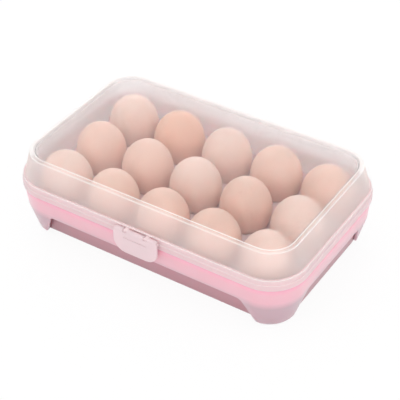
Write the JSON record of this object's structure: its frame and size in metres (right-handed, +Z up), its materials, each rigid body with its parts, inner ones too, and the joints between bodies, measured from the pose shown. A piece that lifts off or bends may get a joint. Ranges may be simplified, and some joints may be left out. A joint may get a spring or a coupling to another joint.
{
  "type": "egg box",
  "caption": "Oblong egg box for a refrigerator: pink cup tray on corner feet, hinged clear lid and snap latch on the front, shown filled with eggs.",
  "frame": {"origin": "middle of the footprint, on the surface that the feet stand on", "axes": "+X along the box, to the right as seen from the latch; -Y towards the latch; +Z up"},
  "size_m": [0.245, 0.1602, 0.07],
  "materials": {
    "pink_plastic": "satin moulded plastic, slightly translucent",
    "frosted_plastic": "frosted translucent moulded plastic",
    "clear_plastic": "clear moulded plastic",
    "milky_plastic": "milky translucent moulded plastic",
    "eggshell": "matte eggshell"
  },
  "bodies": {
    "base": {"base_tray": "pink_plastic", "cup_deck": "pink_plastic", "base_plinth": "pink_plastic"},
    "lid": {"lid": "frosted_plastic", "lid_pane": "clear_plastic"},
    "latch": {"front_latch": "milky_plastic"},
    "egg_front_1": {"egg_front_1": "eggshell"},
    "egg_front_2": {"egg_front_2": "eggshell"},
    "egg_front_3": {"egg_front_3": "eggshell"},
    "egg_front_4": {"egg_front_4": "eggshell"},
    "egg_front_5": {"egg_front_5": "eggshell"},
    "egg_middle_1": {"egg_middle_1": "eggshell"},
    "egg_middle_2": {"egg_middle_2": "eggshell"},
    "egg_middle_3": {"egg_middle_3": "eggshell"},
    "egg_middle_4": {"egg_middle_4": "eggshell"},
    "egg_middle_5": {"egg_middle_5": "eggshell"},
    "egg_rear_1": {"egg_rear_1": "eggshell"},
    "egg_rear_2": {"egg_rear_2": "eggshell"},
    "egg_rear_3": {"egg_rear_3": "eggshell"},
    "egg_rear_4": {"egg_rear_4": "eggshell"},
    "egg_rear_5": {"egg_rear_5": "eggshell"}
  },
  "joints": [
    {"name": "lid_hinge", "type": "hinge", "parent": "base", "child": "lid", "pos_m": [0, 0.0782, 0.041], "axis": [-1, 0, 0], "range_deg": [0, 110]},
    {"name": "latch_hinge", "type": "hinge", "parent": "lid", "child": "latch", "pos_m": [0, -0.0782, 0.0482], "axis": [-1, 0, 0], "range_deg": [0, 110]},
    {"name": "egg_front_1_lift", "type": "slide", "parent": "base", "child": "egg_front_1", "axis": [0, 0, 1], "range_m": [0, 0.0035]},
    {"name": "egg_front_2_lift", "type": "slide", "parent": "base", "child": "egg_front_2", "axis": [0, 0, 1], "range_m": [0, 0.0035]},
    {"name": "egg_front_3_lift", "type": "slide", "parent": "base", "child": "egg_front_3", "axis": [0, 0, 1], "range_m": [0, 0.0035]},
    {"name": "egg_front_4_lift", "type": "slide", "parent": "base", "child": "egg_front_4", "axis": [0, 0, 1], "range_m": [0, 0.0035]},
    {"name": "egg_front_5_lift", "type": "slide", "parent": "base", "child": "egg_front_5", "axis": [0, 0, 1], "range_m": [0, 0.0035]},
    {"name": "egg_middle_1_lift", "type": "slide", "parent": "base", "child": "egg_middle_1", "axis": [0, 0, 1], "range_m": [0, 0.0035]},
    {"name": "egg_middle_2_lift", "type": "slide", "parent": "base", "child": "egg_middle_2", "axis": [0, 0, 1], "range_m": [0, 0.0035]},
    {"name": "egg_middle_3_lift", "type": "slide", "parent": "base", "child": "egg_middle_3", "axis": [0, 0, 1], "range_m": [0, 0.0035]},
    {"name": "egg_middle_4_lift", "type": "slide", "parent": "base", "child": "egg_middle_4", "axis": [0, 0, 1], "range_m": [0, 0.0035]},
    {"name": "egg_middle_5_lift", "type": "slide", "parent": "base", "child": "egg_middle_5", "axis": [0, 0, 1], "range_m": [0, 0.0035]},
    {"name": "egg_rear_1_lift", "type": "slide", "parent": "base", "child": "egg_rear_1", "axis": [0, 0, 1], "range_m": [0, 0.0035]},
    {"name": "egg_rear_2_lift", "type": "slide", "parent": "base", "child": "egg_rear_2", "axis": [0, 0, 1], "range_m": [0, 0.0035]},
    {"name": "egg_rear_3_lift", "type": "slide", "parent": "base", "child": "egg_rear_3", "axis": [0, 0, 1], "range_m": [0, 0.0035]},
    {"name": "egg_rear_4_lift", "type": "slide", "parent": "base", "child": "egg_rear_4", "axis": [0, 0, 1], "range_m": [0, 0.0035]},
    {"name": "egg_rear_5_lift", "type": "slide", "parent": "base", "child": "egg_rear_5", "axis": [0, 0, 1], "range_m": [0, 0.0035]}
  ]
}
